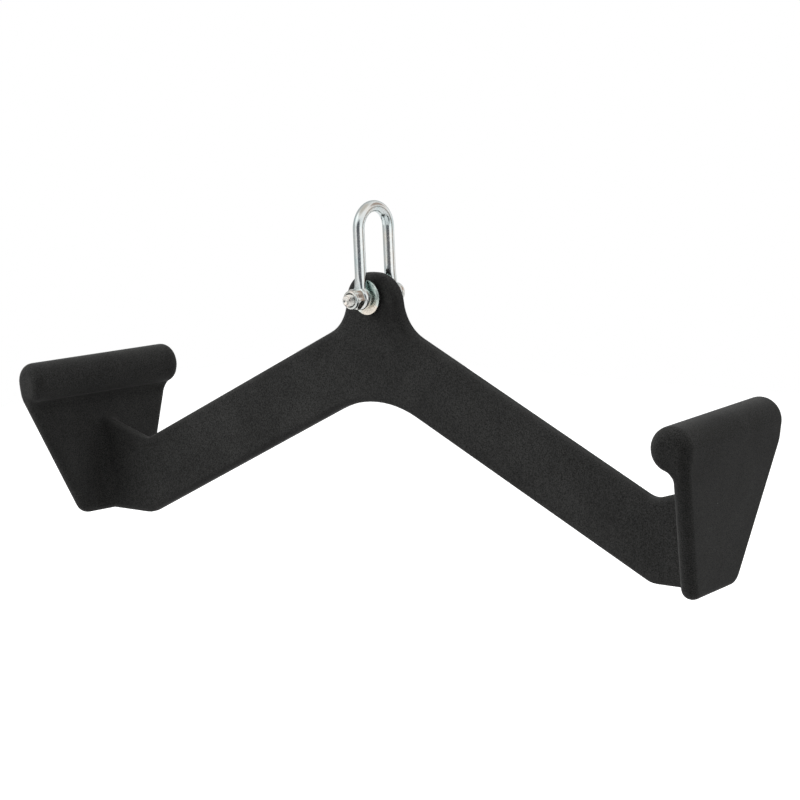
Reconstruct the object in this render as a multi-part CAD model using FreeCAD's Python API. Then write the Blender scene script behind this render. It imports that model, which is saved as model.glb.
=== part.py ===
import FreeCAD, Part
import math
import os

os.makedirs("parts", exist_ok=True)

Vector = FreeCAD.Vector
RIGHT = Vector(1, 0, 0)
AWAY = Vector(0, 1, 0)
UP = Vector(0, 0, 1)
ORIGIN = Vector(0, 0, 0)

# All lengths are in millimetres and all angles in degrees.
# The origin is the crown of the shackle, where a cable hook bears.
# +X runs to the right hand, +Y away from the viewer and +Z up the cable.

# Rubber skin of the arms, seen along the pivot
cover_thickness = 12.0
arm_edge_round = 4.4
arm_slope_deg = 25.3
arm_depth = 51.1
arm_top_drop = 8.0
tab_height = 16.3
tab_half_width = 21.6
tab_flare_deg = 5.3
tab_corner_round = 21.0
tab_root_round = 29.0
throat_round = 85.0
elbow_run = 50.3
elbow_top_round = 16.0
elbow_foot_round = 18.0
end_rise_deg = 16.0
foot_rise = 0.5

# Palm plates and the beads along their top edges
palm_tilt_deg = 10.0
palm_toe_deg = 7.7
palm_height = 102.3
palm_shoulder_drop = 1.5
palm_foot_half_width = 29.1
palm_corner_round = 10.0
palm_shoulder_round = 35.0
palm_edge_round = 5.5
bead_reach = 284.8
bead_drop = 72.5
bead_radius = 14.55
bead_half_length = 65.5
bead_end_round = 7.5
groove_round = 6.0
junction_round = 9.0
junction_bury = 0.06
junction_sink = 1.0
junction_foot_gap = 2.5
junction_margin = 1.0

# Steel core inside the rubber
core_thickness = 6.0
core_edge_skin = 3.3
core_end_skin = 3.5
core_corner_round = 5.0
core_top_drop = 6.0
grip_rod_radius = 10.0
grip_rod_end_skin = 5.0
bond_gap = 0.05
weld_gap = 0.05
weld_leg = 4.0
weld_end_margin = 6.0
weld_swell = 0.2

# Eye of the handle
bush_radius = 7.0
bush_stand_out = 2.0
pin_clearance = 0.08

# Large flat washers, M8 by 24
washer_radius = 12.0
washer_thickness = 1.6
washer_seat_gap = 0.05

# Shackle of round wire with forged eyes
wire_radius = 4.0
leg_spread = 30.0
pivot_to_crown = 61.6
shackle_eye_radius = 8.0
shackle_eye_thickness = 6.2
shackle_eye_spread = 31.8
shackle_eye_chamfer = 2.0
neck_top_height = 19.0
neck_foot_height = 4.6
neck_foot_radius = 6.3
neck_foot_half_thickness = 2.9
handle_side_shift = 1.4

# Pivot bolt, M8 by 50 with a button head
bolt_radius = 4.0
bolt_length = 50.0
bolt_seat_gap = 0.05
head_radius = 7.0
head_height = 4.4
head_rim_height = 1.0
head_waist_height = 3.0
head_waist_radius = 5.8
head_flat_radius = 3.7
socket_across_flats = 5.0
socket_depth = 2.6
tip_chamfer = 0.9

# Lock nut, 13 across flats, with a nylon ring in its collar
nut_across_flats = 13.0
nut_hex_height = 5.6
nut_height = 8.0
nut_turn_deg = -3.4
nut_chamfer_drop = 1.1
nut_chamfer_radius = 6.1
nut_collar_radius = 6.15
nut_collar_chamfer = 0.9
nut_bore_gap = 0.05
nut_lip_opening = 4.7
nut_lip_thickness = 0.5
insert_radius = 5.1
insert_height = 1.9
insert_gap = 0.04

# The eye's hole, the bush's bore and the shackle's eyes share one running fit
pin_hole_radius = bolt_radius + pin_clearance
pivot_drop = pivot_to_crown - wire_radius
arm_slope = math.radians(arm_slope_deg)
elbow_reach = bead_reach - elbow_run
palm_clear_half_width = bead_half_length + cover_thickness
palm_inner = bead_radius - cover_thickness
palm_middle = bead_radius - cover_thickness / 2
half_cover = cover_thickness / 2
half_core = core_thickness / 2


# Placing

# Everything of the handle is drawn around the pivot axis and then hung below the crown.
def hang(shape, shift=0.0):
    moved = shape.copy()
    moved.translate(Vector(0, shift, -pivot_drop))
    return moved


# A right-hand palm piece is drawn around its bead axis: X outward, Y along the bead, Z up the plate.
def palm_matrix():
    matrix = FreeCAD.Matrix()
    matrix.rotateY(math.radians(palm_tilt_deg))
    matrix.rotateZ(math.radians(palm_toe_deg))
    matrix.move(Vector(bead_reach, 0, -bead_drop))
    return matrix


PALM = palm_matrix()


def palm_point(outward, along, up):
    return PALM.multVec(Vector(outward, along, up))


def palm_direction(outward, along, up):
    return palm_point(outward, along, up) - palm_point(0, 0, 0)


def to_palm(shape):
    return shape.transformed(PALM)


def mirrored(shape):
    return shape.mirror(ORIGIN, RIGHT)


def save(shape, name):
    shape.exportStep("parts/" + name + ".step")


# Flat outlines

def meet(point_a, way_a, point_b, way_b):
    # Where two lines of the XZ plane cross.
    cross = way_a.x * way_b.z - way_a.z * way_b.x
    gap = point_b - point_a
    along = (gap.x * way_b.z - gap.z * way_b.x) / cross
    return point_a + way_a * along


def rounded_wire(corners, rounds):
    # Closed wire through the corners, each one rounded by an arc tangent to both sides.
    stops = []
    for index, corner in enumerate(corners):
        before = corners[index - 1]
        after = corners[(index + 1) % len(corners)]
        back = (before - corner).normalize()
        onward = (after - corner).normalize()
        radius = rounds[index]
        if radius <= 0:
            stops.append((corner, None, corner))
            continue
        half_angle = back.getAngle(onward) / 2
        reach = radius / math.tan(half_angle)
        middle_way = (back + onward).normalize()
        centre = corner + middle_way * (radius / math.sin(half_angle))
        stops.append((corner + back * reach, centre - middle_way * radius, corner + onward * reach))
    edges = []
    for index, stop in enumerate(stops):
        start, crest, end = stop
        following = stops[(index + 1) % len(stops)][0]
        if crest is not None:
            edges.append(Part.Arc(start, crest, end).toShape())
        if end.distanceToPoint(following) > bond_gap:
            edges.append(Part.makeLine(end, following))
    return Part.Wire(edges)


def inset(corners, rounds, amount, normal):
    # The same outline moved inward by one amount, inner corners growing and outer ones shrinking.
    count = len(corners)
    moved = []
    radii = []
    for index, corner in enumerate(corners):
        way_in = (corner - corners[index - 1]).normalize()
        way_out = (corners[(index + 1) % count] - corner).normalize()
        side_in = way_in.cross(normal).normalize()
        side_out = way_out.cross(normal).normalize()
        blend = (side_in + side_out).normalize()
        stretch = amount / blend.dot(side_in)
        moved.append(corner - blend * stretch)
        outer_corner = way_in.cross(way_out).dot(normal) > 0
        radius = rounds[index]
        if radius > 0:
            radius = max(radius - amount, bond_gap) if outer_corner else radius + amount
        radii.append(radius)
    return moved, radii


def slab(corners, rounds, thickness, way):
    # Plate of one thickness, centred on the plane the outline lies in.
    face = Part.Face(rounded_wire(corners, rounds))
    face.translate(way * (-thickness / 2))
    return face.extrude(way * thickness)


def turned(profile, centre, axis):
    # Full turn of a flat profile given as (radius, position along the axis) corners.
    side = UP if abs(axis.dot(UP)) < abs(axis.dot(RIGHT)) + abs(axis.dot(AWAY)) else RIGHT
    corners = [centre + side * radius + axis * position for radius, position in profile]
    wire = Part.makePolygon(corners + [corners[0]])
    return Part.Face(wire).revolve(centre, axis, 360)


def ring(inner, outer, start, end, centre=ORIGIN):
    # Flat ring around the pivot axis between two stations along it.
    body = Part.makeCylinder(outer, end - start, centre + AWAY * start, AWAY)
    hole = Part.makeCylinder(inner, end - start, centre + AWAY * start, AWAY)
    return body.cut(hole)


# Handle outline

def arm_corners():
    # Right half of the outline in order from the tab down the arm and back along its underside.
    down_arm = Vector(math.cos(arm_slope), 0, -math.sin(arm_slope))
    top_peak = Vector(0, 0, -arm_top_drop)
    under_peak = Vector(0, 0, -arm_top_drop - arm_depth / math.cos(arm_slope))
    tab_corner = Vector(tab_half_width, 0, tab_height)
    flare = math.radians(tab_flare_deg)
    tab_side = Vector(math.sin(flare), 0, -math.cos(flare))
    tab_root = meet(tab_corner, tab_side, top_peak, down_arm)
    elbow_top = top_peak + down_arm * (elbow_reach / down_arm.x)
    rise = math.radians(end_rise_deg)
    up_end = Vector(math.cos(rise), 0, math.sin(rise))
    plate_point = palm_point(palm_middle, 0, 0)
    plate_way = palm_direction(0, 0, palm_height)
    plate_way = Vector(plate_way.x, 0, plate_way.z)
    end_top = meet(elbow_top, up_end, plate_point, plate_way)
    foot_level = palm_point(palm_middle, 0, -palm_height).z + foot_rise
    foot = Vector(0, 0, foot_level)
    end_foot = meet(foot, RIGHT, plate_point, plate_way)
    elbow_foot = meet(under_peak, down_arm, foot, RIGHT)
    right_side = [tab_corner, tab_root, elbow_top, end_top, end_foot, elbow_foot]
    return right_side, under_peak


RIGHT_SIDE, UNDER_PEAK = arm_corners()
LEFT_SIDE = [Vector(-corner.x, 0, corner.z) for corner in reversed(RIGHT_SIDE)]
ARM_CORNERS = RIGHT_SIDE + [UNDER_PEAK] + LEFT_SIDE
SIDE_ROUNDS = [tab_corner_round, tab_root_round, elbow_top_round, 0, 0, elbow_foot_round]
ARM_ROUNDS = SIDE_ROUNDS + [throat_round] + list(reversed(SIDE_ROUNDS))
END_CAP_REACH = RIGHT_SIDE[4].x


def arm_skin(shrink):
    # V-shaped slab with soft long edges; its two ends finish inside the palm plates.
    corners, rounds = inset(ARM_CORNERS, ARM_ROUNDS, shrink, AWAY)
    half_thickness = half_cover - shrink
    body = slab(corners, rounds, half_thickness + half_thickness, AWAY)
    long_edges = []
    for edge in body.Edges:
        middle = edge.valueAt((edge.FirstParameter + edge.LastParameter) / 2)
        on_face = abs(abs(middle.y) - half_thickness) < bond_gap
        if on_face and abs(middle.x) < END_CAP_REACH - shrink:
            long_edges.append(edge)
    return body.makeFillet(arm_edge_round - shrink, long_edges)


# Palm plate with its bead

def palm_lean():
    # Angle of the plate's sides: a line from the foot that just touches the shoulder's arc.
    rise = palm_height - palm_shoulder_drop
    inset_width = bead_half_length - palm_shoulder_round - palm_foot_half_width
    return math.asin(palm_shoulder_round / math.hypot(rise, inset_width)) + math.atan2(inset_width, rise)


PALM_LEAN = palm_lean()
SHOULDER_LEVEL = -palm_shoulder_drop - palm_shoulder_round * math.tan(PALM_LEAN / 2)
SHOULDER_END = -palm_shoulder_drop - palm_shoulder_round * math.sin(PALM_LEAN)


def palm_outline():
    # Outline seen square on to the plate, starting above the bead.
    top = bead_radius + cover_thickness
    corners = [
        Vector(0, bead_half_length, top),
        Vector(0, -bead_half_length, top),
        Vector(0, -bead_half_length, SHOULDER_LEVEL),
        Vector(0, -palm_foot_half_width, -palm_height),
        Vector(0, palm_foot_half_width, -palm_height),
        Vector(0, bead_half_length, SHOULDER_LEVEL),
    ]
    rounds = [0, 0, palm_shoulder_round, palm_corner_round, palm_corner_round, palm_shoulder_round]
    return corners, rounds


def palm_section():
    # Section across the bead: outer face flowing into the bead, then the groove under it.
    groove_x = palm_inner - groove_round
    groove_z = -math.sqrt((bead_radius + groove_round) ** 2 - groove_x ** 2)
    groove = Vector(groove_x, 0, groove_z)
    bead_end = groove * (bead_radius / (bead_radius + groove_round))
    groove_end = Vector(palm_inner, 0, groove_z)
    to_bead = (bead_end - groove).normalize()
    to_plate = (groove_end - groove).normalize()
    groove_crest = groove + (to_bead + to_plate).normalize() * groove_round
    half_sweep = math.atan2(bead_end.z, bead_end.x) / 2
    bead_crest = Vector(-math.cos(half_sweep), 0, -math.sin(half_sweep)) * bead_radius
    bottom = -palm_height - cover_thickness
    bead_start = Vector(bead_radius, 0, 0)
    outer_foot = Vector(bead_radius, 0, bottom)
    inner_foot = Vector(palm_inner, 0, bottom)
    edges = [
        Part.makeLine(outer_foot, bead_start),
        Part.Arc(bead_start, bead_crest, bead_end).toShape(),
        Part.Arc(bead_end, groove_crest, groove_end).toShape(),
        Part.makeLine(groove_end, inner_foot),
        Part.makeLine(inner_foot, outer_foot),
    ]
    return Part.Face(Part.Wire(edges))


def rim_radius(point):
    # Fuller rounding round the bead's end than along the plate, easing over the shoulder.
    share = min(max((point.z - SHOULDER_END) / (-palm_shoulder_drop - SHOULDER_END), 0), 1)
    return palm_edge_round + (bead_end_round - palm_edge_round) * share


def rim_rounded(body, on_rim):
    # Rounds one closed rim with a radius that follows the place along it.
    # Every edge's two radii are given in the direction in which the rim is walked.
    numbered = [(number + 1, edge) for number, edge in enumerate(body.Edges) if on_rim(edge)]

    def ends(edge):
        return edge.valueAt(edge.FirstParameter), edge.valueAt(edge.LastParameter)

    number, edge = numbered.pop(0)
    start, place = ends(edge)
    radii = [(number, rim_radius(start), rim_radius(place))]
    while numbered:
        for index, (number, edge) in enumerate(numbered):
            first, last = ends(edge)
            if min(first.distanceToPoint(place), last.distanceToPoint(place)) < bond_gap:
                break
        numbered.pop(index)
        following = last if first.distanceToPoint(place) < bond_gap else first
        radii.append((number, rim_radius(place), rim_radius(following)))
        place = following
    document = FreeCAD.newDocument()
    sharp = document.addObject("Part::Feature")
    sharp.Shape = body
    feature = document.addObject("Part::Fillet")
    feature.Base = sharp
    feature.Edges = radii
    document.recompute()
    rounded = feature.Shape.copy()
    FreeCAD.closeDocument(document.Name)
    return rounded


def palm_skin():
    # The section run along the bead, trimmed to the outline and rounded all the way round.
    section = palm_section()
    section.translate(AWAY * (-palm_clear_half_width))
    bar = section.extrude(AWAY * (palm_clear_half_width + palm_clear_half_width))
    corners, rounds = palm_outline()
    wire = rounded_wire(corners, rounds)
    reach = bead_radius + cover_thickness
    face = Part.Face(wire)
    face.translate(RIGHT * (-reach))
    body = bar.common(face.extrude(RIGHT * (reach + reach)))

    def on_rim(edge):
        middle_station = (edge.FirstParameter + edge.LastParameter) / 2
        stations = (edge.FirstParameter, middle_station, edge.LastParameter)
        points = [edge.valueAt(station) for station in stations]
        flat = [Vector(0, point.y, point.z) for point in points]
        lies_on_outline = all(wire.distToShape(Part.Vertex(point))[0] < bond_gap for point in flat)
        runs_across = flat[0].distanceToPoint(flat[2]) < bond_gap
        return lies_on_outline and not runs_across

    return rim_rounded(body, on_rim)


def junction_flare():
    # Concave flare that carries the arm into the inner face of the palm plate.
    # It is drawn between a slightly thinner arm and a wall slightly inside the plate,
    # so that both of its ends dip under the skin they blend into.
    seat = palm_inner + junction_bury
    wall_half = palm_clear_half_width
    wall_low = -palm_height - palm_foot_half_width
    wall = Part.makeBox(
        half_cover, wall_half + wall_half, -wall_low, Vector(seat, -wall_half, wall_low)
    )
    clear_of_elbow = (elbow_reach + elbow_top_round * math.tan(arm_slope) + RIGHT_SIDE[3].x) / 2
    near_end = Part.makeBox(
        bead_reach, wall_half, palm_height + palm_height,
        Vector(clear_of_elbow, -wall_half / 2, UNDER_PEAK.z - palm_height - arm_depth),
    )
    arm_end = arm_skin(junction_bury).common(near_end)
    joined = arm_end.fuse(to_palm(wall)).removeSplitter()
    seat_point = palm_point(seat, 0, 0)
    outward = palm_direction(bead_radius, 0, 0).normalize()
    loop = []
    for edge in joined.Edges:
        span = edge.LastParameter - edge.FirstParameter
        stations = (edge.FirstParameter, edge.FirstParameter + span / 2, edge.LastParameter)
        points = [edge.valueAt(station) for station in stations]
        in_plane = all(abs((point - seat_point).dot(outward)) < bond_gap for point in points)
        near_arm = all(abs(point.y) < cover_thickness for point in points)
        if in_plane and near_arm:
            loop.append(edge)
    flared = joined.makeFillet(junction_round, loop)
    half_width = half_cover + junction_round + junction_margin
    depth = junction_round - junction_bury - junction_bury
    low = -palm_height + junction_foot_gap
    keep = Part.makeBox(
        depth + junction_sink, half_width + half_width, -low,
        Vector(palm_inner - depth, -half_width, low),
    )
    return flared.common(to_palm(keep))


# Steel core; grow widens a piece so that it can also cut its own pocket in the rubber

def arm_core(grow):
    corners, rounds = inset(ARM_CORNERS, ARM_ROUNDS, core_edge_skin - grow, AWAY)
    body = slab(corners, rounds, core_thickness + grow + grow, AWAY)
    reach = palm_clear_half_width
    stop = palm_inner + half_core - weld_gap + grow
    beyond = Part.makeBox(
        bead_reach, reach + reach, palm_height + palm_height + reach,
        Vector(stop, -reach, -palm_height - reach),
    )
    beyond = to_palm(beyond)
    return body.cut(beyond).cut(mirrored(beyond))


def palm_core(grow):
    # Tapered plate whose top edge is coped to sit on the grip rod.
    top = -core_top_drop + core_end_skin
    top_half = palm_foot_half_width + (palm_height + top) * math.tan(PALM_LEAN)
    corners = [
        Vector(0, top_half, top),
        Vector(0, -top_half, top),
        Vector(0, -palm_foot_half_width, -palm_height),
        Vector(0, palm_foot_half_width, -palm_height),
    ]
    rounds = [core_corner_round, core_corner_round, palm_corner_round, palm_corner_round]
    corners, rounds = inset(corners, rounds, core_end_skin - grow, RIGHT)
    body = slab(corners, rounds, core_thickness + grow + grow, RIGHT)
    body.translate(RIGHT * palm_middle)
    cope = grip_rod_radius + weld_gap - grow
    rod_space = Part.makeCylinder(
        cope, bead_half_length + bead_half_length, AWAY * (-bead_half_length), AWAY
    )
    return to_palm(body.cut(rod_space))


def grip_rod(grow):
    half_length = bead_half_length - grip_rod_end_skin + grow
    rod = Part.makeCylinder(
        grip_rod_radius + grow, half_length + half_length, AWAY * (-half_length), AWAY
    )
    return to_palm(rod)


def arm_weld(side, grow):
    # Fillet weld in the corner between the arm core and the palm core, on one side of the arm.
    outward = palm_direction(bead_radius, 0, 0).normalize()
    along = palm_direction(0, bead_radius, 0).normalize()
    face_point = palm_point(palm_inner + half_core - weld_gap, 0, 0)
    run = outward.cross(AWAY).normalize()
    run = run if run.z > 0 else -run
    level = RIGHT_SIDE[4].z + core_edge_skin + weld_end_margin
    top_level = RIGHT_SIDE[3].z - core_edge_skin - weld_end_margin
    corner = Vector(0, side * (half_core + weld_gap), level)
    corner.x = face_point.x + (
        outward.y * (face_point.y - corner.y) + outward.z * (face_point.z - corner.z)
    ) / outward.x
    corner = corner - run * grow
    leg = weld_leg + (weld_swell if grow > 0 else 0)
    triangle = [corner, corner - RIGHT * leg, corner + along * (leg * side)]
    face = Part.Face(Part.makePolygon(triangle + [corner]))
    length = (top_level - level) / run.z + grow + grow
    return face.extrude(run * length)


def rod_weld(grow):
    # Weld under the grip rod, against the inner side of the palm core.
    side = palm_inner + half_core - weld_gap + grow
    half_length = palm_foot_half_width + grow
    foot = -grip_rod_radius - weld_leg - grow
    shoulder = -grip_rod_radius - grow
    section = [
        Vector(side, -half_length, -core_top_drop),
        Vector(side, -half_length, foot),
        Vector(side - weld_leg - grow, -half_length, shoulder),
        Vector(side - weld_leg - grow, -half_length, -core_top_drop),
    ]
    face = Part.Face(Part.makePolygon(section + [section[0]]))
    body = face.extrude(AWAY * (half_length + half_length))
    reach = bead_half_length
    rod_space = Part.makeCylinder(
        grip_rod_radius + weld_gap - grow, reach + reach, AWAY * (-reach), AWAY
    )
    return to_palm(body.cut(rod_space))


def weld_beads(grow):
    return [arm_weld(-1, grow), arm_weld(1, grow), rod_weld(grow)]


def eye_bush():
    # Stands out of the rubber on both sides, so that the washers bear on steel.
    half_length = half_cover + bush_stand_out
    return ring(pin_hole_radius, bush_radius, -half_length, half_length)


def rubber_cover():
    # One moulded skin around the whole core, open only at the eye.
    arm = arm_skin(0)
    palm = to_palm(palm_skin())
    flare = junction_flare()
    body = arm.fuse([palm, flare, mirrored(palm), mirrored(flare)]).removeSplitter()
    hole_radius = bush_radius + bond_gap
    body = body.cut(Part.makeCylinder(hole_radius, cover_thickness, AWAY * (-half_cover), AWAY))
    pockets = [palm_core(bond_gap), grip_rod(bond_gap)] + weld_beads(bond_gap)
    pockets = pockets + [mirrored(pocket) for pocket in pockets]
    return body.cut([arm_core(bond_gap)] + pockets)


# Hardware on the pivot

def washer(start):
    return ring(pin_hole_radius, washer_radius, start, start + washer_thickness)


def shackle_side(side):
    # One leg with its forged eye, from the bow's spring line down.
    leg = leg_spread / 2 * side
    eye_middle = shackle_eye_spread / 2 * side
    spring = pivot_to_crown - leg_spread / 2
    upper = Part.makeCylinder(wire_radius, spring - neck_top_height, Vector(0, leg, neck_top_height), UP)
    neck_length = neck_top_height - neck_foot_height
    swell = Part.makeCone(
        neck_foot_radius, wire_radius, neck_length, Vector(0, leg, neck_foot_height), UP
    )
    pressed = [
        Vector(-wire_radius - wire_radius, leg - wire_radius, neck_top_height),
        Vector(-wire_radius - wire_radius, leg + wire_radius, neck_top_height),
        Vector(-wire_radius - wire_radius, eye_middle + neck_foot_half_thickness, neck_foot_height),
        Vector(-wire_radius - wire_radius, eye_middle - neck_foot_half_thickness, neck_foot_height),
    ]
    wedge = Part.Face(Part.makePolygon(pressed + [pressed[0]])).extrude(RIGHT * wire_radius * 4)
    neck = swell.common(wedge)
    half_eye = shackle_eye_thickness / 2
    chamfer = shackle_eye_chamfer
    eye = turned([
        (pin_hole_radius, -half_eye),
        (shackle_eye_radius - chamfer, -half_eye),
        (shackle_eye_radius, -half_eye + chamfer),
        (shackle_eye_radius, half_eye - chamfer),
        (shackle_eye_radius - chamfer, half_eye),
        (pin_hole_radius, half_eye),
    ], AWAY * eye_middle, AWAY)
    return upper.fuse([neck, eye])


def shackle():
    spring = pivot_to_crown - leg_spread / 2
    circle = Part.Face(Part.Wire([Part.makeCircle(wire_radius, Vector(0, leg_spread / 2, spring), UP)]))
    bow = circle.revolve(Vector(0, 0, spring), RIGHT, 180)
    return bow.fuse([shackle_side(-1), shackle_side(1)]).removeSplitter()


BOLT_SEAT = shackle_eye_spread / 2 + shackle_eye_thickness / 2 + bolt_seat_gap
BOLT_TIP = BOLT_SEAT - bolt_length


def pivot_bolt():
    # Button head on the far side, plain shank and chamfered tip.
    crown = BOLT_SEAT + head_height
    body = turned([
        (0, BOLT_TIP),
        (bolt_radius - tip_chamfer, BOLT_TIP),
        (bolt_radius, BOLT_TIP + tip_chamfer),
        (bolt_radius, BOLT_SEAT),
        (head_radius, BOLT_SEAT),
        (head_radius, BOLT_SEAT + head_rim_height),
        (head_waist_radius, BOLT_SEAT + head_waist_height),
        (head_flat_radius, crown),
        (0, crown),
    ], ORIGIN, AWAY)
    return body.cut(hexagon(socket_across_flats, crown - socket_depth, crown, 0))


def hexagon(across_flats, start, end, turn_deg):
    # Hexagonal prism around the pivot axis.
    radius = across_flats / math.sqrt(3)
    corners = []
    for index in range(6):
        angle = math.radians(turn_deg + 60 * index)
        corners.append(Vector(radius * math.cos(angle), start, radius * math.sin(angle)))
    face = Part.Face(Part.makePolygon(corners + [corners[0]]))
    return face.extrude(AWAY * (end - start))


NUT_SEAT = -BOLT_SEAT
NUT_END = NUT_SEAT - nut_height


def lock_nut():
    # Chamfered hexagon with a round collar whose lip is turned in over the nylon ring.
    shoulder = NUT_SEAT - nut_hex_height
    flats = hexagon(nut_across_flats, shoulder, NUT_SEAT, nut_turn_deg)
    full = nut_across_flats / math.sqrt(3)
    cone = turned([
        (0, NUT_SEAT),
        (nut_chamfer_radius, NUT_SEAT),
        (full, NUT_SEAT - nut_chamfer_drop),
        (full, shoulder + nut_chamfer_drop),
        (nut_chamfer_radius, shoulder),
        (0, shoulder),
    ], ORIGIN, AWAY)
    collar = turned([
        (0, NUT_END),
        (nut_collar_radius - nut_collar_chamfer, NUT_END),
        (nut_collar_radius, NUT_END + nut_collar_chamfer),
        (nut_collar_radius, shoulder + nut_chamfer_drop),
        (0, shoulder + nut_chamfer_drop),
    ], ORIGIN, AWAY)
    body = flats.common(cone).fuse(collar)
    bore = Part.makeCylinder(bolt_radius + nut_bore_gap, nut_height, AWAY * NUT_END, AWAY)
    pocket_start = NUT_END + nut_lip_thickness
    pocket = Part.makeCylinder(
        insert_radius + insert_gap, insert_height + insert_gap, AWAY * pocket_start, AWAY
    )
    mouth = Part.makeCylinder(nut_lip_opening, nut_lip_thickness, AWAY * NUT_END, AWAY)
    return body.cut([bore, pocket, mouth])


def lock_nut_insert():
    start = NUT_END + nut_lip_thickness + insert_gap
    return ring(bolt_radius + insert_gap, insert_radius, start, start + insert_height - insert_gap)


def group(shapes):
    return Part.makeCompound(shapes)


def cored_arm():
    eye = Part.makeCylinder(bush_radius + weld_gap, cover_thickness, AWAY * (-half_cover), AWAY)
    return arm_core(0).cut(eye)


handle_shift = -handle_side_shift
washer_seat = half_cover + bush_stand_out + washer_seat_gap

save(hang(rubber_cover(), handle_shift), "rubber_cover")
save(hang(cored_arm(), handle_shift), "arm_core_plate")
save(hang(palm_core(0), handle_shift), "right_palm_core_plate")
save(hang(mirrored(palm_core(0)), handle_shift), "left_palm_core_plate")
save(hang(grip_rod(0), handle_shift), "right_grip_rod")
save(hang(mirrored(grip_rod(0)), handle_shift), "left_grip_rod")
save(hang(group(weld_beads(0)), handle_shift), "right_weld_beads")
save(hang(group([mirrored(bead) for bead in weld_beads(0)]), handle_shift), "left_weld_beads")
save(hang(eye_bush(), handle_shift), "eye_bush")
save(hang(washer(-washer_seat - washer_thickness), handle_shift), "front_washer")
save(hang(washer(washer_seat), handle_shift), "rear_washer")
save(hang(shackle()), "shackle")
save(hang(pivot_bolt()), "pivot_bolt")
save(hang(lock_nut()), "lock_nut")
save(hang(lock_nut_insert()), "lock_nut_insert")
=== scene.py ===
import math

import bmesh
import bpy
from mathutils import Matrix, Vector


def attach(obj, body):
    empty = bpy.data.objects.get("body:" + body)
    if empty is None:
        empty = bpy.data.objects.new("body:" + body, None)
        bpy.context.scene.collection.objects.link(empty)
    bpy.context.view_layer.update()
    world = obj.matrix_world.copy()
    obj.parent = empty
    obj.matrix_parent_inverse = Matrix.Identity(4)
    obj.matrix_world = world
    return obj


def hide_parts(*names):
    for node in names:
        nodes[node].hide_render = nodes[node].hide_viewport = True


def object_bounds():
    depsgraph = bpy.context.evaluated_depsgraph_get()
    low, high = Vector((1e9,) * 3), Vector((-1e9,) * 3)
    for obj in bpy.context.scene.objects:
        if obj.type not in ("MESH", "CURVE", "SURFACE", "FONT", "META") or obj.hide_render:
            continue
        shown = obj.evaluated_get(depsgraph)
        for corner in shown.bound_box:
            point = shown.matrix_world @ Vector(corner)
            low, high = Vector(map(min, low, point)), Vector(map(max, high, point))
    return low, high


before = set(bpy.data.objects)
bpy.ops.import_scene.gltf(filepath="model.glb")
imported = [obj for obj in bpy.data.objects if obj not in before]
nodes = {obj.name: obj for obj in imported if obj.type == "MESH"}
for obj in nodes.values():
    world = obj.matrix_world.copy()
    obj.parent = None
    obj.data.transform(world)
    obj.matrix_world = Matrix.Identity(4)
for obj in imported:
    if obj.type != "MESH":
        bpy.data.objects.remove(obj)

cad_low, cad_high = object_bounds()

# Everything is in metres and degrees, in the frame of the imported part.

# Camera: the photograph's own, solved from the handle's edges
CAMERA_AZIMUTH = 42.03
CAMERA_ELEVATION = 9.07
CAMERA_ROLL = -2.47
CAMERA_DISTANCE = 2.0178
CAMERA_RIGHT = 0.0171
CAMERA_DOWN = 0.0714
PHOTO_SIDE = 800
FOCAL_PIXELS = 2943.9
SENSOR_MM = 36.0
CLIP_START = 0.05
CLIP_END = 200

# Studio
FLOOR_GAP = 0.42
FLOOR_SIZE = 5.6
FLOOR_CELLS = 12
FLOOR_COLOUR = (0.6, 0.6, 0.6, 1)
FLOOR_ROUGHNESS = 0.9
FLOOR_GLOW = 0.95
FLOOR_MIRRORED_GLOW = 0.25
WORLD_STRENGTH = 0.09

# Lamps: name, place from the middle of the part, width, height and power in watts
LAMPS = (
    ("key", (-2.3, -1.2, 1.9), 2.6, 2.4, 126.0),
    ("fill", (1.5, 1.0, 1.3), 1.6, 1.6, 15.0),
    ("top", (0.7, -0.4, 2.2), 3.0, 2.4, 20.0),
    ("back", (-0.3, 2.2, 1.7), 3.0, 2.4, 22.0),
)

# Parts of the room that the metal mirrors: direction from the camera's side, height, half width
# and softness in degrees, and tint
ROOM_PARTS = (
    (-148.0, 0.0, 70.0, 14.0, (0.54, 0.56, 0.56, 1)),
    (-72.0, 38.0, 20.0, 10.0, (1.35, 1.35, 1.33, 1)),
    (42.0, -9.0, 17.0, 8.0, (1.25, 1.25, 1.25, 1)),
    (0.0, 84.0, 30.0, 12.0, (0.62, 0.60, 0.56, 1)),
    (88.0, -9.0, 12.0, 6.0, (0.36, 0.31, 0.27, 1)),
    (106.0, 28.0, 18.0, 6.0, (0.46, 0.36, 0.31, 1)),
    (-12.0, 0.0, 31.0, 6.0, (0.13, 0.135, 0.15, 1)),
)

# Pivot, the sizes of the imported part; handle and washers stand a little forward on the bolt
PIVOT_HEIGHT = -0.0576
HANDLE_SHIFT = -0.0014
BORE_RADIUS = 0.00408
TURN_STEPS = 96
MERGE_DISTANCE = 1e-7

# Bolt; the flat at the thread's root and both flanks are shares of its pitch
SHANK_RADIUS = 0.004
BOLT_SEAT = 0.01905
BOLT_TIP = -0.03095
HEAD_RADIUS = 0.007
HEAD_FLAT_RADIUS = 0.0037
HEAD_HEIGHT = 0.0044
HEAD_RIM = 0.001
DOME_SHARES = (0.12, 0.26, 0.4, 0.55, 0.7, 0.85, 1.0)
DOME_FULLNESS = 0.92
SEAT_FILLET = 0.0003
SOCKET_FLATS = 0.005
SOCKET_CORNER = 0.57
SOCKET_DEPTH = 0.0026
SOCKET_LEAD = 0.0004
THREAD_START = -0.003
THREAD_PITCH = 0.00125
THREAD_ROOT = 0.00338
THREAD_ROOT_FLAT = 0.12
THREAD_FLANKS = 0.7
THREAD_PER_TURN = 12
THREAD_MERGE = 2e-6
TIP_RADIUS = 0.0031

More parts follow.
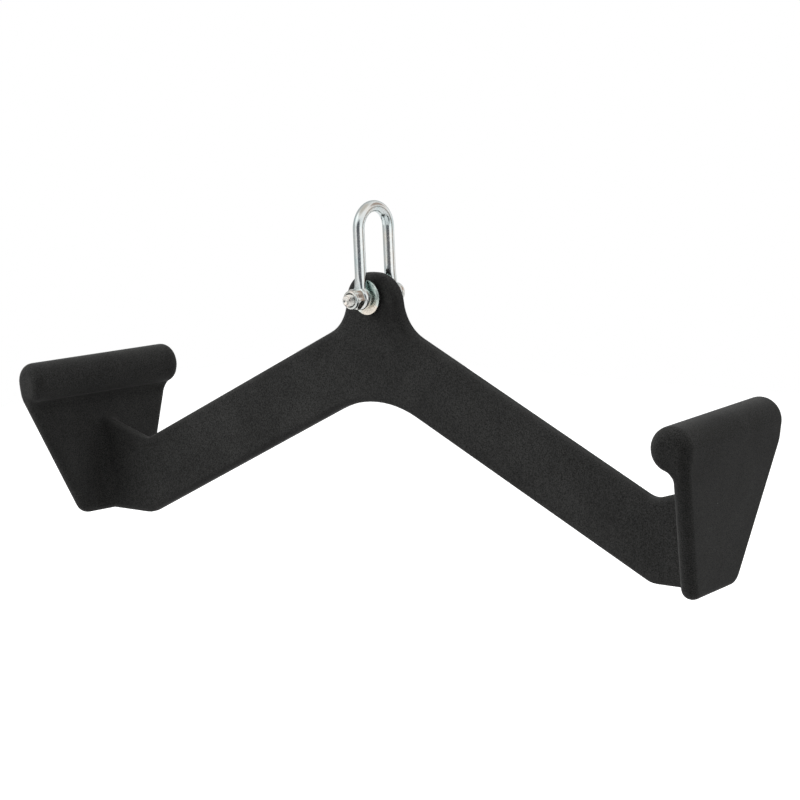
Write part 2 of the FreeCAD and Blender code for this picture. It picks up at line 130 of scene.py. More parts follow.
# Lock nut with its nylon ring, whose two faces are measured from the nut's end
NUT_SEAT = -0.01905
NUT_END = -0.02705
NUT_FLATS = 0.013
NUT_HEX_HEIGHT = 0.0056
NUT_TURN = -3.4
NUT_CHAMFER_DROP = 0.0011
NUT_CHAMFER_RADIUS = 0.0061
NUT_BORE_LEAD = 0.00035
NUT_COLLAR = 0.0065
NUT_ROLL = 0.001
NUT_LIP = 0.005
INSERT_RADIUS = 0.0053
INSERT_NEAR = 0.00095
INSERT_FAR = 0.0024
INSERT_STEPS = 72

# Washers
WASHER_RADIUS = 0.012
WASHER_INNER = 0.00805
WASHER_OUTER = 0.00965
WASHER_EDGE = 0.0003
WASHER_BURR = 0.00012
WASHER_STEPS = 120

# Shackle
WIRE_RADIUS = 0.004
WIRE_SIDES = 48
LEG_SPREAD = 0.03
LEG_RINGS = 40
BOW_RINGS = 48
PIVOT_TO_CROWN = 0.0616
BOW_SPRING = PIVOT_TO_CROWN - LEG_SPREAD / 2
EYE_SPREAD = 0.0318
EYE_RADIUS = 0.008
EYE_THICKNESS = 0.0062
EYE_ROUND = 0.0022
EYE_LEAD = 0.0003
CUT_MARGIN = 0.001
NECK_TOP = 0.017
NECK_FOOT = 0.0035
NECK_HALF_WIDTH = 0.0042
NECK_HALF_THICKNESS = 0.0028
NECK_SQUARENESS = 1.2
SHACKLE_VOXEL = 0.0003
SHACKLE_EASE = 0.5
SHACKLE_EASE_STEPS = 8

# Rubber skin; the scales are details per metre
RUBBER_DARK = (0.0285, 0.0285, 0.0278, 1)
RUBBER_LIGHT = (0.0375, 0.0375, 0.0365, 1)
RUBBER_ROUGHNESS = 0.72
RUBBER_SPECULAR = 0.08
RUBBER_SHEEN = 0.14
RUBBER_SHEEN_ROUGHNESS = 0.28
CLOUD_SCALE = 24.0
GRAIN_SCALE = 1415.0
DUST_SCALE = 95.0
DUST_PATCH_SCALE = 40.0
DUST_TONE = 0.16
SWELL_SCALE = 60.0
SWELL_STRENGTH = 0.12
SWELL_HEIGHT = 0.0006
PORE_SCALE = 1400.0
PORE_STRENGTH = 0.3
PORE_HEIGHT = 0.00025

# Zinc plating: tints against the clouds in it, and how far they shift towards cream low on the
# washers, a painted reflection of the pale floor below
WIRE_TINTS = (
    (0.3, (0.62, 0.71, 0.72, 1)), (0.55, (0.76, 0.78, 0.77, 1)), (0.75, (0.80, 0.76, 0.70, 1)),
)
WASHER_TINTS = (
    (0.4, (0.62, 0.75, 0.71, 1)), (0.62, (0.76, 0.84, 0.80, 1)), (0.74, (0.84, 0.77, 0.67, 1)),
)
FASTENER_TINTS = (
    (0.36, (0.66, 0.72, 0.71, 1)), (0.5, (0.76, 0.75, 0.71, 1)), (0.62, (0.80, 0.69, 0.62, 1)),
)
ZINC_CLOUD_SCALE = 70.0
PIT_HEIGHT = 0.00008
WASHER_PAINTED_REFLECTION_DEPTH = 0.0085
PAINTED_REFLECTION_TOP_SHARE = 0.55
PAINTED_REFLECTION_SHIFT = 0.34

# Sockets of a colour mix, whose names it shares with the other kinds of mix
MIX_FIRST = 6
MIX_SECOND = 7
MIX_RESULT = 2


def kit(material):
    """The material's shader, a function that makes nodes and one that links them."""
    material.use_nodes = True
    tree = material.node_tree
    shader = tree.nodes["Principled BSDF"]

    def node(kind, **inputs):
        made = tree.nodes.new(kind)
        for name, value in inputs.items():
            made.inputs[name.replace("_", " ")].default_value = value
        return made

    def join(source, output, target, socket):
        tree.links.new(source.outputs[output], target.inputs[socket])

    return shader, node, join


def noise(node, join, points, scale, detail=3.0, roughness=0.55):
    """Noise in object coordinates, so that its details keep their real size."""
    made = node("ShaderNodeTexNoise", Scale=scale, Detail=detail, Roughness=roughness)
    join(points, "Object", made, "Vector")
    return made


def ramp(node, join, source, output, stops):
    """Colour ramp that follows one output of a node."""
    made = node("ShaderNodeValToRGB")
    elements = made.color_ramp.elements
    while len(elements) < len(stops):
        elements.new(0.5)
    for element, (place, colour) in zip(elements, stops):
        element.position = place
        element.color = colour
    join(source, output, made, "Fac")
    return made


def grey(value):
    return (value, value, value, 1)


def rubber_material():
    """Matte moulded rubber: fine grain, faint clouding, a little pale dust."""
    material = bpy.data.materials.new("moulded_rubber")
    shader, node, join = kit(material)
    points = node("ShaderNodeTexCoord")

    clouds = noise(node, join, points, CLOUD_SCALE, 4.0, 0.6)
    tones = ramp(node, join, clouds, "Fac", [(0.36, RUBBER_DARK), (0.68, RUBBER_LIGHT)])
    grain = noise(node, join, points, GRAIN_SCALE, 3.0, 0.6)
    grain_tone = ramp(node, join, grain, "Fac", [(0.34, grey(0.4)), (0.68, grey(1.7))])
    grained = node("ShaderNodeMix", Factor=1.0)
    grained.data_type = "RGBA"
    grained.blend_type = "MULTIPLY"
    join(tones, "Color", grained, MIX_FIRST)
    join(grain_tone, "Color", grained, MIX_SECOND)

    specks = node("ShaderNodeTexVoronoi", Scale=DUST_SCALE)
    join(points, "Object", specks, "Vector")
    speck_mask = ramp(node, join, specks, "Distance", [
        (0.0, grey(1.0)), (0.035, grey(0.75)), (0.05, grey(0.0)),
    ])
    patches = noise(node, join, points, DUST_PATCH_SCALE, 1.0)
    patch_mask = ramp(node, join, patches, "Fac", [(0.6, grey(0.0)), (0.66, grey(1.0))])
    dust = node("ShaderNodeMath")
    dust.operation = "MULTIPLY"
    join(speck_mask, "Color", dust, 0)
    join(patch_mask, "Color", dust, 1)
    dusted = node("ShaderNodeMix")
    dusted.data_type = "RGBA"
    join(dust, "Value", dusted, "Factor")
    join(grained, MIX_RESULT, dusted, MIX_FIRST)
    dusted.inputs[MIX_SECOND].default_value = grey(DUST_TONE)
    join(dusted, MIX_RESULT, shader, "Base Color")

    rough = ramp(node, join, grain, "Fac", [
        (0.3, grey(RUBBER_ROUGHNESS - 0.06)), (0.75, grey(RUBBER_ROUGHNESS + 0.1)),
    ])
    join(rough, "Color", shader, "Roughness")

    swell = noise(node, join, points, SWELL_SCALE, 2.0, 0.5)
    coarse = node("ShaderNodeBump", Strength=SWELL_STRENGTH, Distance=SWELL_HEIGHT)
    join(swell, "Fac", coarse, "Height")
    pores = noise(node, join, points, PORE_SCALE, 3.0, 0.7)
    fine = node("ShaderNodeBump", Strength=PORE_STRENGTH, Distance=PORE_HEIGHT)
    join(pores, "Fac", fine, "Height")
    join(coarse, "Normal", fine, "Normal")
    join(fine, "Normal", shader, "Normal")

    shader.inputs["Specular IOR Level"].default_value = RUBBER_SPECULAR
    shader.inputs["Sheen Weight"].default_value = RUBBER_SHEEN
    shader.inputs["Sheen Roughness"].default_value = RUBBER_SHEEN_ROUGHNESS
    return material


def zinc_material(name, tints, roughness, pit_scale, pit_strength, painted_reflection_depth=0.0):
    """Zinc-plated steel: cloudy passivation tints over bright metal, with fine pitting.

    A painted reflection of the pale floor below: given a depth, the tints shift towards the last
    one from part of that distance below the pivot, and fully at the whole of it.
    """
    material = bpy.data.materials.new(name)
    shader, node, join = kit(material)
    points = node("ShaderNodeTexCoord")

    clouds = noise(node, join, points, ZINC_CLOUD_SCALE, 3.0, 0.5)
    source, output = clouds, "Fac"
    # Painted reflection: below the pivot the clouds are pushed towards the last, cream tint
    if painted_reflection_depth:
        height = node("ShaderNodeSeparateXYZ")
        join(points, "Object", height, "Vector")
        drop = node(
            "ShaderNodeMapRange", From_Min=PIVOT_HEIGHT - painted_reflection_depth,
            From_Max=PIVOT_HEIGHT - painted_reflection_depth * PAINTED_REFLECTION_TOP_SHARE, To_Min=PAINTED_REFLECTION_SHIFT, To_Max=0.0,
        )
        join(height, "Z", drop, "Value")
        lowered = node("ShaderNodeMath")
        lowered.operation = "ADD"
        join(clouds, "Fac", lowered, 0)
        join(drop, "Result", lowered, 1)
        source, output = lowered, "Value"
    join(ramp(node, join, source, output, tints), "Color", shader, "Base Color")

    pits = noise(node, join, points, pit_scale, 4.0, 0.65)
    rough = ramp(node, join, pits, "Fac", [
        (0.25, grey(roughness - 0.06)), (0.8, grey(roughness + 0.12)),
    ])
    join(rough, "Color", shader, "Roughness")
    fine = node("ShaderNodeBump", Strength=pit_strength, Distance=PIT_HEIGHT)
    join(pits, "Fac", fine, "Height")
    join(fine, "Normal", shader, "Normal")
    shader.inputs["Metallic"].default_value = 1.0
    return material


def clouded_material(name, clouds, tones, roughs, metallic):
    """Tone and roughness that follow one noise of the given scale, detail and roughness."""
    material = bpy.data.materials.new(name)
    shader, node, join = kit(material)
    source = noise(node, join, node("ShaderNodeTexCoord"), *clouds)
    for stops, socket in ((tones, "Base Color"), (roughs, "Roughness")):
        join(ramp(node, join, source, "Fac", stops), "Color", shader, socket)
    shader.inputs["Metallic"].default_value = metallic
    return material


def mill_steel_material():
    """Hot-rolled steel of the hidden core, with scale and scuffs."""
    return clouded_material(
        "mill_steel", (120.0, 5.0, 0.6),
        [(0.35, (0.16, 0.16, 0.17, 1)), (0.7, (0.34, 0.33, 0.32, 1))],
        [(0.3, grey(0.4)), (0.8, grey(0.65))], 1.0,
    )


def nylon_material():
    """Dark grey nylon of the lock ring, slightly cloudy; darker than plain nylon, so that the ring
    inside the nut's collar shows dark.
    """
    return clouded_material(
        "nylon", (300.0, 3.0, 0.55),
        [(0.3, (0.24, 0.24, 0.23, 1)), (0.75, (0.36, 0.36, 0.34, 1))],
        [(0.3, grey(0.38)), (0.8, grey(0.55))], 0.0,
    )


def dress(names, material):
    for name in names:
        node_object = nodes[name]
        node_object.data.materials.clear()
        node_object.data.materials.append(material)


def dress_nodes():
    rubber = rubber_material()
    wire = zinc_material(
        "zinc_wire", WIRE_TINTS, roughness=0.14, pit_scale=700.0, pit_strength=0.55,
    )
    # The washers turn cream towards the bottom, a painted reflection of the pale floor below
    washer = zinc_material(
        "zinc_washer", WASHER_TINTS, roughness=0.24, pit_scale=900.0, pit_strength=0.22,
        painted_reflection_depth=WASHER_PAINTED_REFLECTION_DEPTH,
    )
    fastener = zinc_material(
        "zinc_fastener", FASTENER_TINTS, roughness=0.17, pit_scale=700.0, pit_strength=0.4,
    )
    steel = mill_steel_material()
    nylon = nylon_material()
    dress(["rubber_cover"], rubber)
    dress(["shackle"], wire)
    dress(["front_washer", "rear_washer"], washer)
    dress(["pivot_bolt", "lock_nut", "eye_bush"], fastener)
    dress(["lock_nut_insert"], nylon)
    add_hardware(wire, washer, fastener, nylon)
    dress([
        "arm_core_plate", "right_palm_core_plate", "left_palm_core_plate", "right_grip_rod",
        "left_grip_rod", "right_weld_beads", "left_weld_beads",
    ], steel)


def angles(count, turn_deg=0.0):
    return [math.radians(turn_deg) + 2 * math.pi * index / count for index in range(count)]


def hex_radius(across_flats, angle, turn_deg=0.0):
    """Distance from the axis to a hexagon's side at one angle."""
    within = (angle - math.radians(turn_deg)) % math.radians(60)
    return across_flats / 2 / math.cos(within - math.radians(30))


def band(build, lower, upper):
    count = len(lower)
    for index in range(count):
        after = (index + 1) % count
        build.faces.new([lower[index], lower[after], upper[after], upper[index]])


def rings(build, rows, closed=False):
    """Skin through rows of points around the pivot axis; a row of one point closes to it."""
    made = [[build.verts.new(point) for point in row] for row in rows]
    pairs = list(zip(made, made[1:]))
    if closed:
        pairs.append((made[-1], made[0]))
    for lower, upper in pairs:
        if len(lower) == 1 or len(upper) == 1:
            single, many = (lower[0], upper) if len(lower) == 1 else (upper[0], lower)
            for index in range(len(many)):
                build.faces.new([single, many[index], many[(index + 1) % len(many)]])
        else:
            band(build, lower, upper)


def around(radius, station, steps):
    """Ring of points about the pivot axis; radius and station may depend on the angle."""
    points = []
    for angle in steps:
        reach = radius(angle) if callable(radius) else radius
        level = station(angle) if callable(station) else station
        across = reach * math.cos(angle)
        points.append(Vector((across, level, PIVOT_HEIGHT + reach * math.sin(angle))))
    return points


def lathe_rows(profile, steps):
    """Rings for a profile of radius and station; a radius of zero is a point on the axis."""
    rows = []
    for radius, station in profile:
        if radius == 0:
            rows.append([Vector((0, station, PIVOT_HEIGHT))])
        else:
            rows.append(around(radius, station, steps))
    return rows


def arc(centre, radius, start_deg, end_deg, count):
    """Points of an arc in the plane of radius and station."""
    points = []
    for index in range(count + 1):
        angle = math.radians(start_deg + (end_deg - start_deg) * index / count)
        points.append((centre[0] + radius * math.cos(angle), centre[1] + radius * math.sin(angle)))
    return points


def finish_piece(name, build, material, body, node, crease_deg):
    """Turns a bmesh into a piece with smooth faces and crisp creases that rides on its body."""
    bmesh.ops.remove_doubles(build, verts=build.verts, dist=MERGE_DISTANCE)
    bmesh.ops.recalc_face_normals(build, faces=build.faces)
    mesh = bpy.data.meshes.new(name)
    build.to_mesh(mesh)
    build.free()
    mesh.materials.append(material)
    mesh.polygons.foreach_set("use_smooth", [True] * len(mesh.polygons))
    mesh.set_sharp_from_angle(angle=math.radians(crease_deg))
    piece = bpy.data.objects.new(name, mesh)
    bpy.context.scene.collection.objects.link(piece)
    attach(piece, body)
    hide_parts(node)


def thread_rows(steps):
    """Rows of points that follow the helix from the plain shank to the tip."""
    profile = []
    for index in range(THREAD_PER_TURN):
        from_root = abs(index / THREAD_PER_TURN - 0.5) * 2
        height = min(1.0, max(0.0, (from_root - THREAD_ROOT_FLAT) / THREAD_FLANKS))
        profile.append(THREAD_ROOT + (SHANK_RADIUS - THREAD_ROOT) * height)
    rows = []
    turns = int((THREAD_START - BOLT_TIP) / THREAD_PITCH + 2)
    for row in range(turns * THREAD_PER_TURN):
        points = []
        for index, angle in enumerate(steps):
            turned = row / THREAD_PER_TURN + index / len(steps)
            station = THREAD_START + THREAD_PITCH - THREAD_PITCH * turned
            held = min(max(station, BOLT_TIP), THREAD_START)
            fade = min(1.0, (THREAD_START - held) / THREAD_PITCH)
            radius = SHANK_RADIUS + (profile[row % THREAD_PER_TURN] - SHANK_RADIUS) * fade
            radius = min(radius, TIP_RADIUS + (held - BOLT_TIP))
            rise = radius * math.sin(angle)
            points.append((radius * math.cos(angle), held, PIVOT_HEIGHT + rise))
        rows.append(points)
    return rows


def add_thread(build, steps):
    """Rolled thread; each row ends where the row one turn further on begins."""
    made = [[build.verts.new(point) for point in row] for row in thread_rows(steps)]
    last = len(steps) - 1
    for row in range(len(made) - 1):
        here, below = made[row], made[row + 1]
        for index in range(last):
            build.faces.new([here[index], here[index + 1], below[index + 1], below[index]])
        onward = row + THREAD_PER_TURN
        if onward + 1 < len(made):
            build.faces.new([here[last], made[onward][0], made[onward + 1][0], below[last]])
    bmesh.ops.remove_doubles(build, verts=build.verts, dist=THREAD_MERGE)


def add_bolt(material):
    """Button-head screw: hexagon socket, domed head, plain shank, rolled thread, dished tip."""
    steps = angles(TURN_STEPS)
    crown = BOLT_SEAT + HEAD_HEIGHT
    floor = crown - SOCKET_DEPTH

    def socket(grow):
        corner = SOCKET_FLATS * SOCKET_CORNER + grow / 2
        return lambda angle: min(hex_radius(SOCKET_FLATS + grow, angle), corner)

    profile = [
        (0, floor - 0.0004), (SOCKET_FLATS * 0.3, floor - 0.0002), (socket(0), floor),
        (socket(0), crown - SOCKET_LEAD), (socket(SOCKET_LEAD), crown - SOCKET_LEAD * 0.3),
        (SOCKET_FLATS * 0.65, crown), (HEAD_FLAT_RADIUS, crown),
    ]
    for share in DOME_SHARES:
        turn = math.radians(90 * share)
        outward = math.sin(turn) ** DOME_FULLNESS
        upward = math.cos(turn) ** DOME_FULLNESS
        profile.append((
            HEAD_FLAT_RADIUS + (HEAD_RADIUS - HEAD_FLAT_RADIUS) * outward,
            BOLT_SEAT + HEAD_RIM + (HEAD_HEIGHT - HEAD_RIM) * upward,
        ))
    profile += [
        (HEAD_RADIUS, BOLT_SEAT + SEAT_FILLET), (HEAD_RADIUS - 0.00025, BOLT_SEAT),
        (SHANK_RADIUS + SEAT_FILLET, BOLT_SEAT), (SHANK_RADIUS, BOLT_SEAT - SEAT_FILLET),
        (SHANK_RADIUS, THREAD_START),
    ]
    build = bmesh.new()
    rings(build, lathe_rows(profile, steps))
    add_thread(build, steps)
    rings(build, lathe_rows([
        (TIP_RADIUS, BOLT_TIP), (TIP_RADIUS - 0.0003, BOLT_TIP + 0.00002),
        (TIP_RADIUS * 0.72, BOLT_TIP + 0.00025), (TIP_RADIUS * 0.5, BOLT_TIP + 0.00075),
        (TIP_RADIUS * 0.25, BOLT_TIP + 0.00095), (0, BOLT_TIP + 0.001),
    ], steps))
    bmesh.ops.remove_doubles(build, verts=build.verts, dist=THREAD_MERGE)
    finish_piece(
        "socket_screw", build, material, "bolt", "pivot_bolt", crease_deg=28,
    )


def add_nut(material):
    """Lock nut: hexagon with cone-cut corners, round collar rolled in over the nylon ring."""
    shoulder = NUT_SEAT - NUT_HEX_HEIGHT
    full = NUT_FLATS / math.sqrt(3)

    def flat(angle):
        return hex_radius(NUT_FLATS, angle, NUT_TURN)

    def drop(angle):
        past = max(0.0, flat(angle) - NUT_CHAMFER_RADIUS)
        return NUT_CHAMFER_DROP * past / (full - NUT_CHAMFER_RADIUS)

    profile = [
        (SHANK_RADIUS + NUT_BORE_LEAD, NUT_SEAT),
        (NUT_CHAMFER_RADIUS - 0.0001, NUT_SEAT),
        (NUT_CHAMFER_RADIUS, NUT_SEAT - 0.00002),
        (flat, lambda angle: NUT_SEAT - drop(angle) - 0.00002),
        (flat, lambda angle: shoulder + drop(angle) + 0.00008),
        (NUT_COLLAR + 0.00008, shoulder + 0.00008),
        (NUT_COLLAR - 0.00002, shoulder - 0.00004),
        (NUT_COLLAR - 0.00006, shoulder - 0.0003),
        (NUT_COLLAR - 0.00004, NUT_END + 0.0011),
    ]
    profile += arc((NUT_COLLAR - 0.00104, NUT_END + NUT_ROLL), NUT_ROLL, 0, -90, 8)
    profile += [
        (NUT_LIP + 0.00012, NUT_END), (NUT_LIP, NUT_END + 0.0001), (NUT_LIP, NUT_END + 0.0007),
        (INSERT_RADIUS + 0.00003, NUT_END + 0.0009), (INSERT_RADIUS + 0.00003, NUT_END + 0.00243),
        (SHANK_RADIUS + 0.00004, NUT_END + 0.00243),
        (SHANK_RADIUS + 0.00004, NUT_SEAT - NUT_BORE_LEAD),
    ]
    build = bmesh.new()
    rings(build, lathe_rows(profile, angles(TURN_STEPS, NUT_TURN)), closed=True)
    finish_piece(
        "hex_lock_nut", build, material, "bolt", "lock_nut", crease_deg=24,
    )


def add_nylon(material):
    """Nylon ring, bulged a little where the screw has cut its way through it."""
    start = NUT_END + INSERT_NEAR
    end = NUT_END + INSERT_FAR
    build = bmesh.new()
    rings(build, lathe_rows([
        (SHANK_RADIUS + 0.00004, end), (INSERT_RADIUS - 0.0001, end), (INSERT_RADIUS, end - 0.0001),
        (INSERT_RADIUS, start + 0.0001), (INSERT_RADIUS - 0.0001, start), (NUT_LIP + 0.0002, start),
        (NUT_LIP - 0.00006, start - 0.00004), (NUT_LIP - 0.0002, start - 0.0001),
        (SHANK_RADIUS + 0.00026, start - 0.00014), (SHANK_RADIUS + 0.00008, start - 0.00004),
    ], angles(INSERT_STEPS)), closed=True)
    finish_piece(
        "nylon_lock_ring", build, material, "bolt", "lock_nut_insert", crease_deg=40,
    )


def add_washer(name, near, far, node, material):
    """Stamped washer: rolled edge on one side, small burr on the other."""
    edge, burr = WASHER_EDGE, WASHER_BURR
    profile = arc((WASHER_RADIUS - edge, near + edge), edge, -90, 0, 4)
    profile += arc((WASHER_RADIUS - burr, far - burr), burr, 0, 90, 2)
    profile += arc((BORE_RADIUS + burr, far - burr), burr, 90, 180, 2)
    profile += arc((BORE_RADIUS + edge, near + edge), edge, 180, 270, 3)
    build = bmesh.new()
    rings(build, lathe_rows(profile, angles(WASHER_STEPS)), closed=True)
    finish_piece(name, build, material, node, node, crease_deg=35)


def section_ring(centre, outward, half_width, half_thickness, power):
    """Rounded section of the wire; a power above two squares it off."""
    points = []
    for angle in angles(WIRE_SIDES):
        across = math.copysign(abs(math.cos(angle)) ** (2 / power), math.cos(angle))
        through = math.copysign(abs(math.sin(angle)) ** (2 / power), math.sin(angle))
        side = Vector((half_width * across, 0, 0))
        points.append(centre + side + outward * (half_thickness * through))
    return points


def leg_rings(side):
    """Rings from the pressed foot of one leg up to the bow's spring line."""
    leg = LEG_SPREAD / 2 * side
    eye_middle = EYE_SPREAD / 2 * side
    outward = Vector((0, side, 0))
    rows = []
    for index in range(LEG_RINGS + 1):
        height = NECK_FOOT + (BOW_SPRING - NECK_FOOT) * index / LEG_RINGS
        press = min(1.0, max(0.0, (NECK_TOP - height) / (NECK_TOP - NECK_FOOT)))
        ease = press * press * (3 - 2 * press)
        half_width = WIRE_RADIUS + (NECK_HALF_WIDTH - WIRE_RADIUS) * ease
        half_thickness = WIRE_RADIUS + (NECK_HALF_THICKNESS - WIRE_RADIUS) * ease
        power = 2 + NECK_SQUARENESS * ease
        centre = Vector((0, leg + (eye_middle - leg) * ease, PIVOT_HEIGHT + height))
        rows.append(section_ring(centre, outward, half_width, half_thickness, power))
    return rows


def add_wire(build):
    """Both legs and the bow of the shackle, closed at the feet."""
    rows = leg_rings(-1)
    for index in range(1, BOW_RINGS):
        turn = math.pi * index / BOW_RINGS
        outward = Vector((0, -math.cos(turn), math.sin(turn)))
        centre = Vector((0, 0, PIVOT_HEIGHT + BOW_SPRING)) + outward * (LEG_SPREAD / 2)
        rows.append(section_ring(centre, outward, WIRE_RADIUS, WIRE_RADIUS, 2))
    rows += reversed(leg_rings(1))
    rings(build, rows)
    build.verts.ensure_lookup_table()
    build.faces.new(build.verts[:WIRE_SIDES])
    build.faces.new(build.verts[-WIRE_SIDES:])


def add_eye(build, cutter, middle):
    """Rounded disc of one eye, and the cutter that bores it with a lead on both sides."""
    steps = angles(TURN_STEPS)
    near = middle - EYE_THICKNESS / 2
    far = middle + EYE_THICKNESS / 2
    reach = EYE_RADIUS - EYE_ROUND
    rims = [(0, near)] + arc((reach, near + EYE_ROUND), EYE_ROUND, -90, 0, 8)
    rims += arc((reach, far - EYE_ROUND), EYE_ROUND, 0, 90, 8) + [(0, far)]
    rings(build, lathe_rows(rims, steps))
    flared = BORE_RADIUS + EYE_LEAD + CUT_MARGIN
    rings(cutter, lathe_rows([
        (0, near - CUT_MARGIN), (flared, near - CUT_MARGIN), (BORE_RADIUS, near + EYE_LEAD),
        (BORE_RADIUS, far - EYE_LEAD), (flared, far + CUT_MARGIN), (0, far + CUT_MARGIN),
    ], steps))


def evaluated_mesh(piece):
    graph = bpy.context.evaluated_depsgraph_get()
    return bpy.data.meshes.new_from_object(piece.evaluated_get(graph))


def scratch_object(name, build):
    mesh = bpy.data.meshes.new(name)
    build.to_mesh(mesh)
    build.free()
    made = bpy.data.objects.new(name, mesh)
    bpy.context.scene.collection.objects.link(made)
    return made


def add_shackle(material):
    """Forged shackle: one round wire, pressed flat at its feet and blended into two bored eyes."""
    build = bmesh.new()
    cutter = bmesh.new()
    add_wire(build)
    for side in (-1, 1):
        add_eye(build, cutter, EYE_SPREAD / 2 * side)
    for part in (build, cutter):
        bmesh.ops.recalc_face_normals(part, faces=part.faces)
    rough = scratch_object("shackle_rough", build)
    remesh = rough.modifiers.new("union", "REMESH")
    remesh.mode = "VOXEL"
    remesh.voxel_size = SHACKLE_VOXEL
    smooth = rough.modifiers.new("ease", "SMOOTH")
    smooth.factor = SHACKLE_EASE
    smooth.iterations = SHACKLE_EASE_STEPS
    bore = scratch_object("shackle_bore", cutter)
    cut = rough.modifiers.new("bore", "BOOLEAN")
    cut.operation = "DIFFERENCE"
    cut.solver = "EXACT"
    cut.object = bore
    mesh = evaluated_mesh(rough)
    for scratch in (rough, bore):
        bpy.data.objects.remove(scratch)
    forged = bmesh.new()
    forged.from_mesh(mesh)
    bpy.data.meshes.remove(mesh)
    finish_piece(
        "bow_shackle", forged, material, "shackle", "shackle", crease_deg=50,
    )


def add_hardware(wire, washer, fastener, nylon):
    add_shackle(wire)
    add_bolt(fastener)
    add_nut(fastener)
    add_nylon(nylon)
    for name, near, far, node in (
        ("front_flat_washer", -WASHER_OUTER, -WASHER_INNER, "front_washer"),
        ("rear_flat_washer", WASHER_INNER, WASHER_OUTER, "rear_washer"),
    ):
        add_washer(name, near + HANDLE_SHIFT, far + HANDLE_SHIFT, node, washer)


def camera_axes():
    """Right, up and back of the photograph's camera."""
    azimuth = math.radians(CAMERA_AZIMUTH)
    elevation = math.radians(CAMERA_ELEVATION)
    roll = math.radians(CAMERA_ROLL)
    back = Vector((
        math.sin(azimuth) * math.cos(elevation),
        -math.cos(azimuth) * math.cos(elevation),
        math.sin(elevation),
    ))
    level = Vector((math.cos(azimuth), math.sin(azimuth), 0))
    upright = back.cross(level)
    right = level * math.cos(roll) + upright * math.sin(roll)
    up = upright * math.cos(roll) - level * math.sin(roll)
    return right, up, back


def add_camera():
    right, up, back = camera_axes()
    pivot = Vector((0, HANDLE_SHIFT, PIVOT_HEIGHT))
    place = pivot + back * CAMERA_DISTANCE + right * CAMERA_RIGHT - up * CAMERA_DOWN
    data = bpy.data.cameras.new("camera")
    data.sensor_width = SENSOR_MM
    data.lens = FOCAL_PIXELS / PHOTO_SIDE * SENSOR_MM
    data.clip_start = CLIP_START
    data.clip_end = CLIP_END
    camera = bpy.data.objects.new("camera", data)
    facing = Matrix((right, up, back)).transposed().to_4x4()
    camera.matrix_world = Matrix.Translation(place) @ facing
    bpy.context.scene.collection.objects.link(camera)
    bpy.context.scene.camera = camera


def add_area(name, place, target, width, height, power):
    """Soft lamp at one place, aimed at the target and not mirrored by the metal."""
    data = bpy.data.lights.new(name, "AREA")
    data.shape = "RECTANGLE"
    data.size = width
    data.size_y = height
    data.energy = power
    light = bpy.data.objects.new(name, data)
    light.location = place
    light.visible_glossy = False
    light.rotation_mode = "QUATERNION"
    light.rotation_quaternion = (place - target).to_track_quat("Z", "Y")
    bpy.context.scene.collection.objects.link(light)


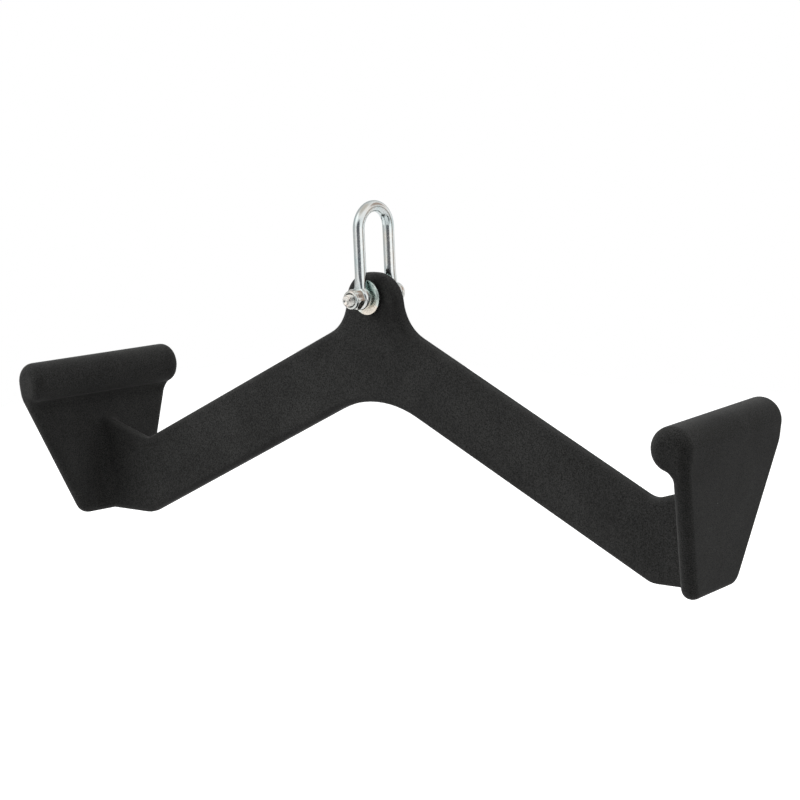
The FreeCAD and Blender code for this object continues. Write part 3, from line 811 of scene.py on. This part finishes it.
def add_world():
    """White surroundings for the camera; reflections show the parts of a room in it instead."""
    world = bpy.data.worlds.new("studio")
    bpy.context.scene.world = world
    world.use_nodes = True
    tree = world.node_tree
    tree.nodes.clear()

    def node(kind):
        return tree.nodes.new(kind)

    def math_node(operation, first, second, clamp=False):
        made = node("ShaderNodeMath")
        made.operation = operation
        made.use_clamp = clamp
        for index, value in enumerate((first, second)):
            if isinstance(value, (int, float)):
                made.inputs[index].default_value = value
            else:
                tree.links.new(value, made.inputs[index])
        return made.outputs[0]

    way = node("ShaderNodeTexCoord")
    parts = node("ShaderNodeSeparateXYZ")
    tree.links.new(way.outputs["Generated"], parts.inputs[0])
    path = node("ShaderNodeLightPath")
    room = None
    for direction, height, half_width, softness, tint in ROOM_PARTS:
        centre = math.radians(CAMERA_AZIMUTH + direction)
        rise = math.radians(height)
        ahead = math_node("MULTIPLY", parts.outputs["Z"], math.sin(rise))
        for name, share in (("X", math.sin(centre)), ("Y", -math.cos(centre))):
            along = math_node("MULTIPLY", parts.outputs[name], share * math.cos(rise))
            ahead = math_node("ADD", ahead, along)
        edge = math.cos(math.radians(half_width + softness))
        core = math.cos(math.radians(half_width - softness))
        share = math_node("DIVIDE", math_node("SUBTRACT", ahead, edge), core - edge, clamp=True)
        mirrored = math_node("MULTIPLY", share, path.outputs["Is Glossy Ray"])
        mixed = node("ShaderNodeMix")
        mixed.data_type = "RGBA"
        tree.links.new(mirrored, mixed.inputs["Factor"])
        mixed.inputs[MIX_FIRST].default_value = grey(1.0)
        if room:
            tree.links.new(room, mixed.inputs[MIX_FIRST])
        mixed.inputs[MIX_SECOND].default_value = tint
        room = mixed.outputs[MIX_RESULT]

    bright = math_node("MAXIMUM", path.outputs["Is Camera Ray"], path.outputs["Is Glossy Ray"])
    other = math_node("MULTIPLY", math_node("SUBTRACT", 1.0, bright), WORLD_STRENGTH)
    background = node("ShaderNodeBackground")
    tree.links.new(room, background.inputs["Color"])
    tree.links.new(math_node("ADD", bright, other), background.inputs["Strength"])
    output = node("ShaderNodeOutputWorld")
    tree.links.new(background.outputs[0], output.inputs["Surface"])


def add_floor():
    """Pale studio floor under the hanging handle; it glows for the camera, less in mirrors."""
    mesh = bpy.data.meshes.new("floor")
    build = bmesh.new()
    bmesh.ops.create_grid(
        build, x_segments=FLOOR_CELLS, y_segments=FLOOR_CELLS, size=FLOOR_SIZE / 2,
    )
    build.to_mesh(mesh)
    build.free()
    floor = bpy.data.objects.new("floor", mesh)
    floor.location.z = cad_low.z - FLOOR_GAP
    bpy.context.scene.collection.objects.link(floor)
    material = bpy.data.materials.new("studio_floor")
    shader, node, join = kit(material)
    shader.inputs["Base Color"].default_value = FLOOR_COLOUR
    shader.inputs["Roughness"].default_value = FLOOR_ROUGHNESS
    path = node("ShaderNodeLightPath")
    mirrored = node("ShaderNodeMath")
    mirrored.operation = "MULTIPLY"
    mirrored.inputs[1].default_value = FLOOR_MIRRORED_GLOW
    join(path, "Is Glossy Ray", mirrored, 0)
    glow = node("ShaderNodeMath")
    glow.operation = "MULTIPLY_ADD"
    glow.inputs[1].default_value = FLOOR_GLOW
    join(path, "Is Camera Ray", glow, 0)
    join(mirrored, "Value", glow, 2)
    shader.inputs["Emission Color"].default_value = grey(1.0)
    join(glow, "Value", shader, "Emission Strength")
    mesh.materials.append(material)


def add_lights():
    middle = (cad_low + cad_high) / 2
    for name, place, width, height, power in LAMPS:
        add_area(name, middle + Vector(place), middle, width, height, power)


dress_nodes()
add_camera()
add_world()
add_floor()
add_lights()
bpy.context.scene.view_settings.view_transform = "Standard"
